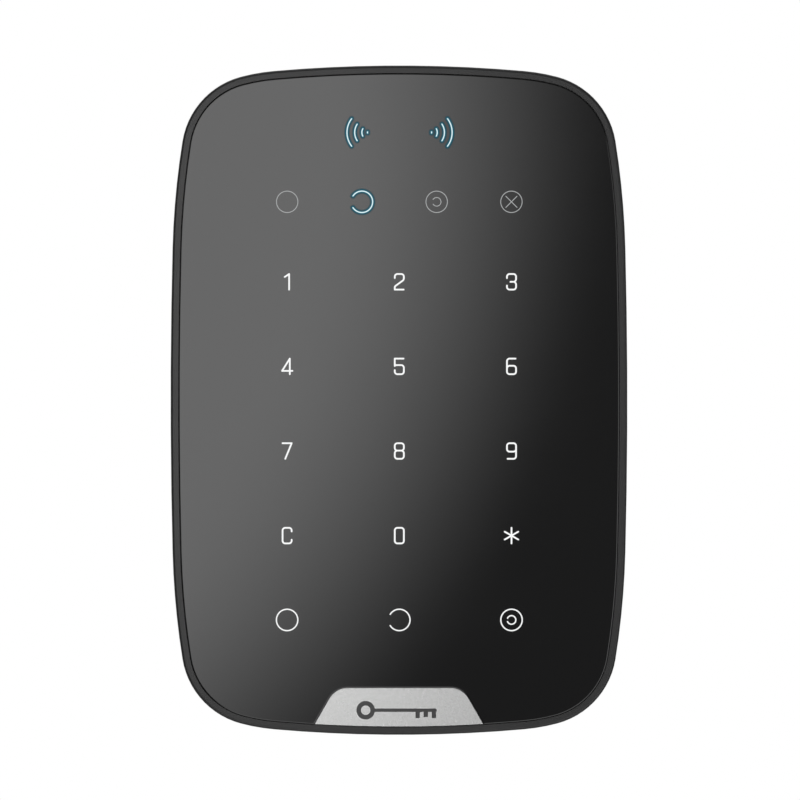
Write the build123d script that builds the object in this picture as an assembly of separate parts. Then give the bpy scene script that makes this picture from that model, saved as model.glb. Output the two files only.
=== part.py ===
from build123d import *

import os
from math import cos, pi, radians, sin

import numpy as np

# A wall-mounted touch keypad with a contactless card reader, in millimetres.
#
# Frame: origin at the centre of the bracket's wall face, +Z up the wall, +X to the right as a user
# faces the keypad. The wall is the plane Y = 0 and the touch face looks along -Y. Sketches are
# drawn in X and Z, and a piece's place along Y is given as its depth, its distance from the wall.

# ---- overall size and outline -------------------------------------------------------------
WIDTH = 112.6
HEIGHT = 165.0
DEPTH = 20.0
SIDE_RADIUS = 1477.0  # nearly flat long sides
SHOULDER_RADIUS = 199.0  # eases each side into its corner
TOP_SHOULDER_RADIUS = 48.8  # eases each corner into the top and bottom edges
ARC_ENDS_DEG = (1.45, 9.1, 75.2, 85.0)  # tangent angle where one arc hands over to the next

# ---- stack of layers, as distances from the wall ------------------------------------------
BRACKET_T = 2.4
BACK = 2.7  # back face of the rear housing
PARTING = 10.0  # where the two housings meet
LENS_FRONT = DEPTH - 0.22
LENS_T = 1.2
LENS_BACK = LENS_FRONT - LENS_T
INLAY_T = 0.30  # how deep the legends are let into the lens
MASK_T = 0.10
MASK_BACK = LENS_BACK - MASK_T
TAPE_T = 0.15
LEDGE_FRONT = MASK_BACK - TAPE_T
LEDGE_T = 0.55
LEDGE_BACK = LEDGE_FRONT - LEDGE_T
DIFFUSER_T = 0.30
DIFFUSER_BACK = MASK_BACK - DIFFUSER_T
BOARD_T = 0.8
BOARD_FRONT = LEDGE_BACK - 0.03
BOARD_BACK = BOARD_FRONT - BOARD_T

# ---- walls and gaps ------------------------------------------------------------------------
WALL = 2.6
SCREW_SEAT = 7.7
REAR_WALL = 1.8
REAR_INSET = 0.3  # step of the rear housing behind the front one
RIM = 1.87
LENS_INSET = RIM + 0.14
LENS_BEVEL = 0.25  # width of the shallow bevel round the front of the lens
LENS_BEVEL_DEPTH = 0.08
LEDGE_INSET = 5.0
BACK_ROUND = 5.0
RIM_ROUND = 0.7
FIT = 0.2
LAP = 0.95  # thickness of the tongue where the housings lap
LAP_DEPTH = 1.2
LAP_GAP = 0.15
TINY = 0.02

# ---- sliding bracket -----------------------------------------------------------------------
TRAVEL = 8.0
BRACKET_INSET = 8.0
HOOK_X = 41.2
HOOK_Z = (-32.0, 32.0)
HOOK_W = 8.0
HOOK_POST = 2.4
HOOK_LIP = 5.6
HOOK_LIP_T = 1.5
WALL_SCREW_X = 40.5
WALL_SCREW_Z = 58.0
WALL_SCREW_R = 2.1
WALL_SCREW_HEAD_R = 3.6
TAMPER_TAB = (0.0, 36.0)
TAMPER_TAB_SIZE = 24.0
TAMPER_WEB = 3.2  # breakaway web at each corner of the tab
TAMPER_SCREW_X = -5.5
SLIT = 1.1
WINDOW_W = 69.6  # opening for the battery bulge
WINDOW_Z = (-67.5, 12.0)
BUTTON_NOTCH_W = 15.0  # the window rises past the power button
BUTTON_NOTCH_TOP = 36.0
NOTCH_OVERLAP = 8.0  # how far the notch is cut into the window below it
BRACKET_POCKETS = (  # X, Z, width and height of the pockets in the wall face
    (26.0, 57.0, 17.0, 24.0),
    (-26.0, 57.0, 17.0, 24.0),
    (24.5, 28.0, 14.0, 22.0),
    (41.5, -6.0, 8.0, 26.0),
    (-41.5, -6.0, 8.0, 26.0),
    (4.0, 18.0, 34.0, 5.0),
)
POCKET_DEPTH = 1.0
SNAP = (0.0, 61.0)
SNAP_BUMP = 0.2

# ---- battery compartment -------------------------------------------------------------------
CELL_R = 7.15
CELL_L = 50.5
NUB_L = 1.2
NUB_R = 2.7
CELL_PITCH = 14.8
CELL_COUNT = 4
CELL_DEPTH = 9.3  # of a cell's axis
BAY_Z = -33.5
TRAY_W = 61.8
TRAY_H = 60.0
TRAY_WALL = 1.2
TRAY_BACK = 2.0
TRAY_FRONT = BOARD_BACK - 0.05
COVER_T = 1.0
COVER_BACK = 0.85
COVER_W = 64.2
COVER_H = 62.6
BULGE_W = 68.0
BULGE_H = 66.4
BULGE_ROUND = 3.0
COVER_LEDGE = 1.95
CONTACT_T = 0.4
CELL_OFFSET = 3.0  # each cell sits this far towards its positive end
CRADLE_TOP = 12.0
SPRING_WIRE = 0.8

# ---- controls and legends ------------------------------------------------------------------
LEGEND_SHIFT = 0.08  # the printed legends sit this far right of the centre line
KEY_PITCH_X = 27.65
KEY_ROWS_Z = (29.17, 8.32, -12.53, -33.38)
FUNCTION_Z = -54.16
STATUS_Z = 48.88
STATUS_PITCH = 18.42
WAVE_Z = 65.98
WAVE_SHIFT = 0.14  # the ripples sit this far right of the centre line
WAVE_X = 7.36  # centre of the ripples, from the middle
STROKE = 0.41
ICON_STROKE = 0.31
LIT_STROKE = 0.30
STATUS_STROKE = 0.18
RING_R = 2.64
SMALL_RING_R = 1.06
DIGIT_HALF_W = 1.12
DIGIT_HALF_H = 1.92
DIGIT_ROUND = 0.66

POWER_BUTTON = (-25.0, 28.0)
POWER_BUTTON_R = 3.4
PLUNGER = (5.5, 36.0)
PLUNGER_R = 2.2
PLUNGER_FLANGE = 5.6
FLANGE_T = 0.8

SWITCH_SIZE = 6.2
SWITCH_BACK = 13.4
SWITCH_STEM_R = 1.6
SWITCH_STEM_BACK = 12.4
SWITCH_STEM_L = 2.5

KEYS = [["1", "2", "3"], ["4", "5", "6"], ["7", "8", "9"], ["C", "0", "*"]]
RIPPLES = ((5.6, 37.4), (3.7, 33.7), (1.93, 28.7), (0.55, 17.0))  # radius, half spread in degrees

BADGE_TOP = -70.94
BADGE_TOP_HALF_W = 15.70  # where its sides would meet its top edge
BADGE_SLOPE_DEG = 60.0
BADGE_ROUND = 5.23
BADGE_FRONT = LENS_FRONT + 0.12
BADGE_BEVEL = 0.1
SYMBOL_Z = -76.4
SYMBOL_SINK = 0.12  # depth of the painted symbol's pocket
SYMBOL_PAINT_T = 0.08

# ---- electronics and fixings ---------------------------------------------------------------
PAD_T = 0.035
RADIO_AT = (-24.0, 9.8)
ANTENNA_X = 37.5
ANTENNA_Z = (12.0, 50.0)
ANTENNA_WIRE_R = 0.45
ANTENNA_RISE = 5.0
COIL_W = 66.0  # outermost loop of the card reader's antenna
COIL_H = 20.0
COIL_TURNS = 4
COIL_PITCH = 1.2
COIL_TRACK = 0.6
BUZZER_AT = (0.0, -71.8)
BUZZER_R = 6.8
BUZZER_T = 5.4
CORNER = 2  # index of the corner arc in the outline
BOSS_INSET = 9.6
BOSS_R = 3.0
PILOT_R = 1.0
STAKE_INSET = 4.15
STAKE_R = 0.6
VENT_COUNT = 7
VENT_PITCH = 2.4
VENT_W = 1.2
VENT_DEPTHS = (5.2, 8.2)
SCREW_HEAD_R = 2.2
SCREW_HEAD_T = 1.8
SCREW_SHANK_R = 0.96
SCREW_SHANK_L = 7.6


# ---- drawing helpers -----------------------------------------------------------------------
def edges_at(shape, depth):
    """The edges of a shape that lie flat at one depth."""
    return shape.edges().filter_by_position(Axis.Y, -depth - TINY, -depth + TINY)


def at_depth(depth):
    """The plane parallel to the wall at a depth, with X to the right and Y up the wall."""
    return Plane.XZ.offset(depth)


def slab(sketch, low, high):
    """A sketch in X and Z made solid between two depths."""
    return extrude(at_depth(low) * sketch, amount=high - low, dir=(0, -1, 0))


def disc(x, z, radius, low, high):
    return slab(Pos(x, z) * Circle(radius), low, high)


def block(x, z, width, height, low, high, radius=0.0):
    shape = RectangleRounded(width, height, radius) if radius else Rectangle(width, height)
    return slab(Pos(x, z) * shape, low, high)


def mirrored(x, z):
    """The four places that a point takes in the four quarters."""
    return [(sx * x, sz * z) for sx in (-1, 1) for sz in (-1, 1)]


def all_of(shapes):
    """Separate solids as one compound."""
    return Compound(children=[solid for shape in shapes for solid in shape.solids()])


def outline_arcs():
    """Radius, centre and end angles of each arc from the right-hand side up to the top.

    Five tangent arcs turn through the quarter. The corner and top radii are worked out so
    that the quarter ends exactly on the centre line, half the height up.
    """
    turns = [0.0, *(radians(a) for a in ARC_ENDS_DEG), pi / 2]
    c1, c2, c3, c4 = (cos(a) for a in turns[1:5])
    s1, s2, s3, s4 = (sin(a) for a in turns[1:5])
    known_x = WIDTH / 2 - SIDE_RADIUS + (SIDE_RADIUS - SHOULDER_RADIUS) * c1
    known_x += SHOULDER_RADIUS * c2 + TOP_SHOULDER_RADIUS * (c4 - c3)
    known_z = (SIDE_RADIUS - SHOULDER_RADIUS) * s1 + SHOULDER_RADIUS * s2
    known_z += TOP_SHOULDER_RADIUS * (s4 - s3)
    corner, top = np.linalg.solve(
        [[c3 - c2, -c4], [s3 - s2, 1 - s4]], [-known_x, HEIGHT / 2 - known_z]
    )
    radii = [SIDE_RADIUS, SHOULDER_RADIUS, float(corner), TOP_SHOULDER_RADIUS, float(top)]
    centres = [(WIDTH / 2 - SIDE_RADIUS, 0.0)]
    for i in range(1, len(radii)):
        x, z = centres[-1]
        step = radii[i - 1] - radii[i]
        centres.append((x + step * cos(turns[i]), z + step * sin(turns[i])))
    return radii, centres, turns


RADII, CENTRES, TURNS = outline_arcs()


def arc(centre, radius, start, end, flip_x=1, flip_z=1):
    """An arc about a centre, mirrored into one of the four quarters."""
    points = [
        (
            flip_x * (centre[0] + radius * cos(a)),
            flip_z * (centre[1] + radius * sin(a)),
        )
        for a in (start, (start + end) / 2, end)
    ]
    return ThreePointArc(*points)


def outline(inset=0.0):
    """The keypad's rounded outline, moved inwards by an inset, as a face."""
    edges = []
    for flip in (1, -1):
        edges.append(arc(CENTRES[0], RADII[0] - inset, -TURNS[1], TURNS[1], flip_x=flip))
        edges.append(arc((0.0, CENTRES[4][1]), RADII[4] - inset, TURNS[4], pi - TURNS[4], flip_z=flip))
        for flip_z in (1, -1):
            for i in (1, 2, 3):
                edges.append(arc(CENTRES[i], RADII[i] - inset, TURNS[i], TURNS[i + 1], flip, flip_z))
    return make_face(Curve() + edges)


def outline_at(index, angle_deg, inset):
    """A point on one of the outline's arcs, moved inwards by an inset."""
    reach = RADII[index] - inset
    x, z = CENTRES[index]
    return x + reach * cos(radians(angle_deg)), z + reach * sin(radians(angle_deg))


CORNER_BOSS = outline_at(CORNER, 45, BOSS_INSET)
SIDE_BOSS = (WIDTH / 2 - BOSS_INSET, 0.0)
CASE_SCREWS = mirrored(*CORNER_BOSS) + [(-SIDE_BOSS[0], 0.0), SIDE_BOSS]
STAKES = mirrored(*outline_at(0, ARC_ENDS_DEG[0], STAKE_INSET)) + mirrored(
    *outline_at(4, ARC_ENDS_DEG[3], STAKE_INSET)
)
KEY_XS = (-KEY_PITCH_X, 0.0, KEY_PITCH_X)
KEY_POSITIONS = [(x, z) for z in (*KEY_ROWS_Z, FUNCTION_Z) for x in KEY_XS]
STATUS_XS = [(i - 1.5) * STATUS_PITCH for i in range(4)]
INDICATOR_SPOTS = [(-WAVE_X, WAVE_Z), (WAVE_X, WAVE_Z)] + [(x, STATUS_Z) for x in STATUS_XS]


# ---- legends -------------------------------------------------------------------------------
def stroke(points, rounds=0.0, width=STROKE, close=False):
    """A pen line of even width with round ends, along straight runs with rounded corners."""
    if len(points) == 2:
        line = Wire([Line(*points)])
    else:
        line = FilletPolyline(*points, radius=rounds, close=close)
    if not close:
        return make_face(line.offset_2d(width / 2, kind=Kind.ARC, side=Side.BOTH).edges())
    outer = make_face(line.offset_2d(width / 2, kind=Kind.ARC).edges())
    return outer - make_face(line.offset_2d(-width / 2, kind=Kind.ARC).edges())


def loop(low, high):
    """A closed rounded box of a digit's width, between two heights."""
    w = DIGIT_HALF_W
    return stroke([(-w, low), (w, low), (w, high), (-w, high)], DIGIT_ROUND, close=True)


def glyph(name):
    """One key's character, centred on the key."""
    w, h, r = DIGIT_HALF_W, DIGIT_HALF_H, DIGIT_ROUND
    tail = 0.92  # height where the open ends of 2, 3, 5 and C stop
    if name == "0":
        return loop(-h, h)
    if name == "1":
        return stroke([(-0.58, 1.2), (0.5, h), (0.5, -h)], [0.0])
    if name == "2":
        bends = [(-w, tail), (-w, h), (w, h), (w, 0.5), (-w, -1.15), (-w, -h), (w - 0.05, -h)]
        return stroke(bends, [r, r, 0.7, 0.45, 0.0])
    if name == "3":
        bends = [(-w, tail), (-w, h), (w, h), (w, 0.5), (0.78, 0.0), (-0.25, 0.0)]
        upper = stroke(bends, [r, r, 0.3, 0.15])
        return upper + mirror(upper, Plane.XZ)
    if name == "4":
        post, bar = 0.66, -1.1
        return stroke([(post, -h), (post, h)]) + stroke([(post, h), (-1.24, bar), (1.3, bar)], [0.0])
    if name == "5":
        bar = 0.32
        flag = stroke([(w - 0.08, h), (-w, h), (-w, 0.1)], [0.0])
        return flag + stroke([(-w, bar), (w, bar), (w, -h), (-w, -h), (-w, -tail)], [r, r, r])
    if name == "6":
        return loop(-h, 0.16) + stroke([(-w, -0.8), (-w, h), (w - 0.15, h)], [r])
    if name == "7":
        return stroke([(-w, h), (w, h), (-0.46, -h)], [0.0])
    if name == "8":
        return loop(-h, 0.1) + loop(0.1, h)
    if name == "9":
        return Rot(0, 0, 180) * glyph("6")
    if name == "C":
        return stroke([(w, tail + 0.1), (w, h), (-w, h), (-w, -h), (w, -h), (w, -tail - 0.1)], [r] * 4)
    arms = [Rot(0, 0, turn) * stroke([(0.0, -h), (0.0, h)]) for turn in (0, 60, 120)]
    return arms[0] + arms[1] + arms[2]


def ring(radius, width, gap_deg=0.0):
    """A circle of pen width, open on its left by a gap to each side of level."""
    if not gap_deg:
        return Circle(radius + width / 2) - Circle(radius - width / 2)
    end = pi - radians(gap_deg)
    outer = arc((0.0, 0.0), radius + width / 2, -end, end)
    inner = arc((0.0, 0.0), radius - width / 2, -end, end)
    return make_face(Curve() + [outer, inner, Line(outer @ 0, inner @ 0), Line(outer @ 1, inner @ 1)])


def ripple(radius, spread_deg, width):
    """One radio ripple: an arc that bows to the left, with round ends."""
    spread = radians(spread_deg)
    line = Wire([arc((0.0, 0.0), radius, pi - spread, pi + spread)])
    return make_face(line.offset_2d(width / 2, kind=Kind.ARC, side=Side.BOTH).edges())


def key_legend_faces():
    return [
        Pos(x + LEGEND_SHIFT, z) * glyph(KEYS[row][column])
        for row, z in enumerate(KEY_ROWS_Z)
        for column, x in enumerate(KEY_XS)
    ]


def function_legend_faces():
    away = [ring(RING_R, ICON_STROKE)]
    home = [ring(RING_R, ICON_STROKE, 29.0)]
    night = [ring(RING_R, ICON_STROKE), ring(SMALL_RING_R, ICON_STROKE, 16.0)]
    marks = zip(KEY_XS, (away, home, night))
    return [Pos(x + LEGEND_SHIFT, FUNCTION_Z) * face for x, faces in marks for face in faces]


def status_legend_faces():
    """The three status marks that are dark: armed, night and fault."""
    arm = 1.38
    cross = stroke([(-arm, -arm), (arm, arm)], width=STATUS_STROKE)
    cross += stroke([(-arm, arm), (arm, -arm)], width=STATUS_STROKE)
    rim = ring(RING_R, STATUS_STROKE)
    marks = (
        (STATUS_XS[0], [rim]),
        (STATUS_XS[2], [rim, ring(SMALL_RING_R, STATUS_STROKE, 29.0)]),
        (STATUS_XS[3], [rim, cross]),
    )
    return [Pos(x + LEGEND_SHIFT, STATUS_Z) * face for x, faces in marks for face in faces]


def lit_legend_faces():
    """The marks that are lit: the open ring and the ripples of the card reader."""
    faces = [Pos(STATUS_XS[1] + LEGEND_SHIFT, STATUS_Z) * ring(RING_R, LIT_STROKE, 30.0)]
    for radius, spread in RIPPLES:
        mark = ripple(radius, spread, LIT_STROKE)
        faces.append(Pos(WAVE_SHIFT - WAVE_X, WAVE_Z) * mark)
        faces.append(Pos(WAVE_SHIFT + WAVE_X, WAVE_Z) * Rot(0, 0, 180) * mark)
    return faces


# ---- wall bracket --------------------------------------------------------------------------
def cut_frame(x, z, size, low, high):
    """A square ring of slots that leaves a web at each corner."""
    inner = size - 2 * SLIT
    slots = block(x, z, size, size, low, high) - block(x, z, inner, inner, low, high)
    for px, pz in mirrored(size / 2, size / 2):
        slots -= block(x + px, z + pz, 2 * TAMPER_WEB, 2 * TAMPER_WEB, low, high)
    return slots


def hook(x, z):
    """A post that carries the keypad, with a lip that reaches up behind its back wall."""
    lip_back = BACK + REAR_WALL + 0.25
    lip_front = lip_back + HOOK_LIP_T
    post = block(x, z + HOOK_POST / 2, HOOK_W, HOOK_POST, BRACKET_T - 0.2, lip_front)
    height = HOOK_POST + HOOK_LIP
    lip = block(x, z + height / 2, HOOK_W, height, lip_back, lip_front)
    tip = lip.edges().filter_by(Axis.X).sort_by(Axis.Z)[-2:]
    return post + chamfer(tip, 0.4)


def mounting_bracket():
    plate = slab(outline(BRACKET_INSET), 0.0, BRACKET_T)
    plate = chamfer(edges_at(plate, BRACKET_T), 0.4)
    through = (-1.0, BRACKET_T + 1.0)
    low, high = WINDOW_Z
    plate -= block(0.0, (low + high) / 2, WINDOW_W, high - low, *through, radius=4.0)
    notch_h = BUTTON_NOTCH_TOP - high + NOTCH_OVERLAP
    notch_z = BUTTON_NOTCH_TOP - notch_h / 2
    plate -= block(POWER_BUTTON[0], notch_z, BUTTON_NOTCH_W, notch_h, *through, radius=2.0)
    for x, z in mirrored(WALL_SCREW_X, WALL_SCREW_Z):
        plate -= disc(x, z, WALL_SCREW_R, *through)
        sink_depth = WALL_SCREW_HEAD_R - WALL_SCREW_R
        sink = Pos(x, z, -sink_depth / 2) * Cone(WALL_SCREW_R, WALL_SCREW_HEAD_R, sink_depth)
        plate -= at_depth(BRACKET_T) * sink
    for x, z in [(sx * HOOK_X, z) for sx in (-1, 1) for z in HOOK_Z]:
        shutoff = HOOK_LIP + 0.4
        plate -= block(x, z + HOOK_POST + shutoff / 2, HOOK_W + 0.4, shutoff, *through, radius=0.6)
        plate += hook(x, z)
    plate -= cut_frame(*TAMPER_TAB, TAMPER_TAB_SIZE, *through)
    plate -= disc(TAMPER_SCREW_X, TAMPER_TAB[1], WALL_SCREW_R, *through)
    x, z = SNAP
    tongue = block(x, z, 12.0, 16.0, *through, radius=2.0)
    tongue -= block(x, z - SLIT, 12.0 - 2 * SLIT, 16.0, *through, radius=1.0)
    plate -= tongue & block(x, z + 2.0, 14.0, 16.0, *through)
    plate += block(x, z + 4.0, 6.0, 1.6, BRACKET_T - 0.2, BRACKET_T + SNAP_BUMP)
    for x, z, width, height in BRACKET_POCKETS:
        plate -= block(x, z, width, height, -1.0, POCKET_DEPTH, radius=2.0)
    arrow = Polygon((-3.5, 0.0), (3.5, 0.0), (0.0, 4.5), align=None)
    return plate - slab(Pos(26.0, 60.0) * arrow, BRACKET_T - 0.3, BRACKET_T + 1.0)


# ---- housings ------------------------------------------------------------------------------
def front_housing():
    shell = slab(outline(), PARTING, DEPTH)
    shell = fillet(edges_at(shell, DEPTH), RIM_ROUND)
    shell -= slab(outline(WALL), PARTING - 1.0, LEDGE_BACK)
    shell -= slab(outline(LEDGE_INSET), LEDGE_BACK - TINY, LEDGE_FRONT + TINY)
    shell -= slab(outline(RIM), LEDGE_FRONT, DEPTH + 1.0)
    tongue = outline(WALL - LAP) - outline(WALL)
    shell += slab(tongue, PARTING - LAP_DEPTH, PARTING + 0.5)
    boss_front = BOARD_BACK - 0.1
    for x, z in CASE_SCREWS:
        shell += disc(x, z, BOSS_R, PARTING, boss_front)
        shell += rib_to_wall(x, z, PARTING, boss_front)
        shell -= disc(x, z, PILOT_R, PARTING - 1.0, boss_front - 0.8)
    for x, z in STAKES:
        shell += disc(x, z, STAKE_R, BOARD_BACK - 0.35, LEDGE_BACK + 0.2)
        shell += disc(x, z, 1.0, BOARD_BACK - 0.4, BOARD_BACK - 0.02)
    return shell


def rib_to_wall(x, z, low, high):
    """A rib from a screw boss straight out to the nearest wall."""
    if z:
        turn = 45.0 if x * z > 0 else -45.0
    else:
        turn = 0.0
    side = 1 if x > 0 else -1
    reach = BOSS_INSET - WALL + 0.3
    rib = Pos(x, z) * Rot(0, 0, turn) * Pos(side * reach / 2, 0.0) * Rectangle(reach, 1.6)
    return slab(rib, low, high) - disc(x, z, BOSS_R - 0.5, low - 1.0, high + 1.0)


def rear_housing():
    shell = slab(outline(REAR_INSET), BACK, PARTING)
    shell = fillet(edges_at(shell, BACK), BACK_ROUND)
    inner_back = BACK + REAR_WALL
    cavity = slab(outline(WALL), inner_back, PARTING + 1.0)
    shell -= fillet(edges_at(cavity, inner_back), BACK_ROUND - WALL + REAR_INSET)
    shell -= slab(outline(WALL - LAP - LAP_GAP), PARTING - LAP_DEPTH - LAP_GAP, PARTING + 1.0)
    shell += block(0.0, BAY_Z, BULGE_W, BULGE_H, COVER_BACK, inner_back, radius=BULGE_ROUND)
    shell -= block(0.0, BAY_Z, COVER_W + 0.4, COVER_H + 0.4, 0.0, COVER_LEDGE, radius=1.6)
    shell -= block(0.0, BAY_Z, TRAY_W + 2 * FIT, TRAY_H + 2 * FIT, 0.0, PARTING, radius=1.2)
    for x, z in [(sx * HOOK_X, z) for sx in (-1, 1) for z in HOOK_Z]:
        low, high = z - TRAVEL - 0.3, z + HOOK_POST + 0.2
        shell -= block(x, (low + high) / 2, HOOK_W + 0.8, high - low, 0.0, inner_back + TINY, radius=0.4)
    inside = slab(outline(REAR_INSET + 1.0), BACK, PARTING)
    for x, z in CASE_SCREWS:
        shell += disc(x, z, BOSS_R + 0.4, BACK + 0.5, PARTING) & inside
        shell -= disc(x, z, 2.4, 0.0, SCREW_SEAT)
        shell -= disc(x, z, 1.2, 0.0, PARTING + 1.0)
    shell -= disc(*PLUNGER, PLUNGER_R + 0.3, 0.0, inner_back + 1.0)
    shell -= disc(*POWER_BUTTON, POWER_BUTTON_R + 0.25, 0.0, inner_back + 1.0)
    x, z = SNAP
    shell -= block(x, z + 4.0, 8.0, 3.0, 0.0, BACK + 0.35, radius=0.5)
    for i in range(VENT_COUNT):
        vent_x = (i - (VENT_COUNT - 1) / 2) * VENT_PITCH
        shell -= block(vent_x, -HEIGHT / 2 + 2.0, VENT_W, 8.0, *VENT_DEPTHS)
    return shell


def case_screws():
    """Six cross-slot pan-head screws, from the back of the housing into the front bosses."""
    head_back = SCREW_SEAT - SCREW_HEAD_T
    screws = []
    for x, z in CASE_SCREWS:
        head = disc(x, z, SCREW_HEAD_R, head_back, SCREW_SEAT)
        head = fillet(edges_at(head, head_back), 0.5)
        for width, height in ((0.6, 2.6), (2.6, 0.6)):
            head -= block(x, z, width, height, head_back - 1.0, head_back + 1.0)
        screws.append(head + disc(x, z, SCREW_SHANK_R, SCREW_SEAT, SCREW_SEAT + SCREW_SHANK_L))
    return all_of(screws)


# ---- touch face ----------------------------------------------------------------------------
def badge_outline(grow=0.0):
    """The silver plate at the foot of the touch face, grown outwards by a gap."""
    foot = -HEIGHT / 2 - 3.0
    lean = cos(radians(BADGE_SLOPE_DEG)) / sin(radians(BADGE_SLOPE_DEG))
    top = BADGE_TOP + grow
    half_top = BADGE_TOP_HALF_W + grow * (1 / sin(radians(BADGE_SLOPE_DEG)) - lean)
    half_foot = half_top + (top - foot) * lean
    shape = Polygon((-half_top, top), (half_top, top), (half_foot, foot), (-half_foot, foot), align=None)
    corners = shape.vertices().sort_by(Axis.Y)[-2:]
    return fillet(corners, BADGE_ROUND + grow)


def touch_lens():
    """The touch panel: notched for the badge, with a shallow pocket for each legend."""
    lens = slab(outline(LENS_INSET) - badge_outline(0.08), LENS_BACK, LENS_FRONT)
    face = lens.faces().sort_by(Axis.Y)[0]
    lens = chamfer(face.edges(), LENS_BEVEL, LENS_BEVEL_DEPTH, reference=face)
    legends = key_legend_faces() + function_legend_faces() + status_legend_faces() + lit_legend_faces()
    return lens - [slab(face, LENS_FRONT - INLAY_T, LENS_FRONT + 1.0) for face in legends]


def key_symbol():
    """A plain door key, drawn flat, with its bow to the left."""
    bow = Pos(-8.2, 0.0) * (Circle(2.3) - Circle(1.15))
    shaft = Pos(1.6, 0.0) * RectangleRounded(15.4, 0.85, 0.3)
    teeth = [Pos(x, -1.0) * Rectangle(1.1, drop) for x, drop in ((4.6, 1.9), (6.6, 1.4), (8.6, 1.9))]
    symbol = bow + shaft
    for tooth in teeth:
        symbol += tooth
    return Pos(0.0, SYMBOL_Z) * symbol


def badge_plate():
    shape = badge_outline() & outline(LENS_INSET)
    plate = slab(shape, LENS_BACK, BADGE_FRONT)
    plate = chamfer(edges_at(plate, BADGE_FRONT), BADGE_BEVEL)
    return plate - slab(key_symbol(), BADGE_FRONT - SYMBOL_SINK, BADGE_FRONT + 1.0)


def badge_symbol():
    sunk = BADGE_FRONT - SYMBOL_SINK
    return all_of([slab(key_symbol(), sunk, sunk + SYMBOL_PAINT_T)])


def inlays(faces):
    """Translucent legends, flush with the front of the lens."""
    return all_of([slab(face, LENS_FRONT - INLAY_T, LENS_FRONT) for face in faces])


def light_mask():
    """The black film behind the lens, open behind each lit place."""
    mask = slab(outline(LENS_INSET), MASK_BACK, LENS_BACK)
    windows = [Pos(x, z) * Circle(3.8) for x, z in KEY_POSITIONS]
    windows += [Pos(x, STATUS_Z) * Circle(3.4) for x in STATUS_XS]
    windows += [Pos(side * 10.5, WAVE_Z) * RectangleRounded(8.0, 9.0, 2.0) for side in (-1, 1)]
    return mask - [slab(window, MASK_BACK - 0.1, LENS_BACK + 0.1) for window in windows]


def lens_adhesive():
    return slab(outline(LENS_INSET + 0.2) - outline(LEDGE_INSET - 0.2), LEDGE_FRONT, MASK_BACK)


def diffuser_film():
    return slab(outline(LEDGE_INSET + 0.3), DIFFUSER_BACK, MASK_BACK)


# ---- electronics ---------------------------------------------------------------------------
def main_board():
    board = slab(outline(WALL + 0.3), BOARD_BACK, BOARD_FRONT)
    for x, z in STAKES:
        board -= disc(x, z, STAKE_R + 0.1, BOARD_BACK - 1.0, BOARD_FRONT + 1.0)
    for x, z in KEY_POSITIONS:
        board -= disc(x, z - 3.0, 0.4, BOARD_BACK - 1.0, BOARD_FRONT + 1.0)
    return board


def leds(spots, width=1.6, height=0.8):
    """Flat light-emitting diodes: a lens body on the front of the board at each spot."""
    bodies = []
    for x, z in spots:
        front = BOARD_FRONT + 0.35
        body = block(x, z, width, height, BOARD_FRONT, front)
        bodies.append(chamfer(edges_at(body, front), 0.08))
    return all_of(bodies)


def touch_electrodes():
    pad = Circle(8.0) - Circle(3.4)
    return all_of([slab(Pos(x, z) * pad, BOARD_FRONT, BOARD_FRONT + PAD_T) for x, z in KEY_POSITIONS])


def reader_antenna():
    """Concentric loops of copper around the ripples."""
    turns = []
    for i in range(COIL_TURNS):
        width, height = COIL_W - 2 * COIL_PITCH * i, COIL_H - 2 * COIL_PITCH * i
        turn = RectangleRounded(width, height, 3.0 - 0.4 * i)
        turn -= RectangleRounded(width - 2 * COIL_TRACK, height - 2 * COIL_TRACK, 2.4 - 0.4 * i)
        turns.append(slab(Pos(0.0, WAVE_Z) * turn, BOARD_FRONT, BOARD_FRONT + PAD_T))
    return all_of(turns)


def ferrite_sheet():
    return block(0.0, WAVE_Z, 70.0, 19.6, BOARD_BACK - 0.3, BOARD_BACK, radius=1.0)


def chip(x, z, size, height, pins, pitch):
    """A square chip on the back of the board with a row of leads on each side."""
    low = BOARD_BACK - height
    body = block(x, z, size, size, low, BOARD_BACK - 0.12)
    body = chamfer(edges_at(body, low), 0.15)
    body -= disc(x - size * 0.36, z + size * 0.36, 0.35, low - 1.0, low + 0.08)
    side = Pos(size / 2 + 0.3, 0.0) * Rectangle(0.6, pitch / 2)
    pieces = [body]
    for turn in (0, 90, 180, 270):
        for i in range(pins):
            along = Pos(0.0, (i - (pins - 1) / 2) * pitch)
            pieces.append(slab(Pos(x, z) * Rot(0, 0, turn) * along * side, BOARD_BACK - 0.12, BOARD_BACK))
    return all_of(pieces)


def radio_module():
    """A small board with a tin can over its radio, soldered flat on the main board."""
    x, z = RADIO_AT
    carrier = block(x, z, 17.0, 23.0, BOARD_BACK - 0.8, BOARD_BACK)
    can = block(x, z - 2.5, 14.0, 15.0, BOARD_BACK - 3.0, BOARD_BACK - 0.8, radius=0.6)
    return all_of([carrier, fillet(edges_at(can, BOARD_BACK - 3.0), 0.35)])


def radio_antennas():
    """Two bent wires that stand off the board, one along each side."""
    wires = []
    for side in (-1, 1):
        x, foot, bend = side * ANTENNA_X, -BOARD_BACK, -BOARD_BACK + ANTENNA_RISE
        low, high = ANTENNA_Z
        path = FilletPolyline((x, foot, low), (x, bend, low), (x, bend, high), radius=1.6)
        section = Plane(origin=path @ 0, z_dir=path % 0) * Circle(ANTENNA_WIRE_R)
        wires.append(sweep(section, path=path))
    return all_of(wires)


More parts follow.
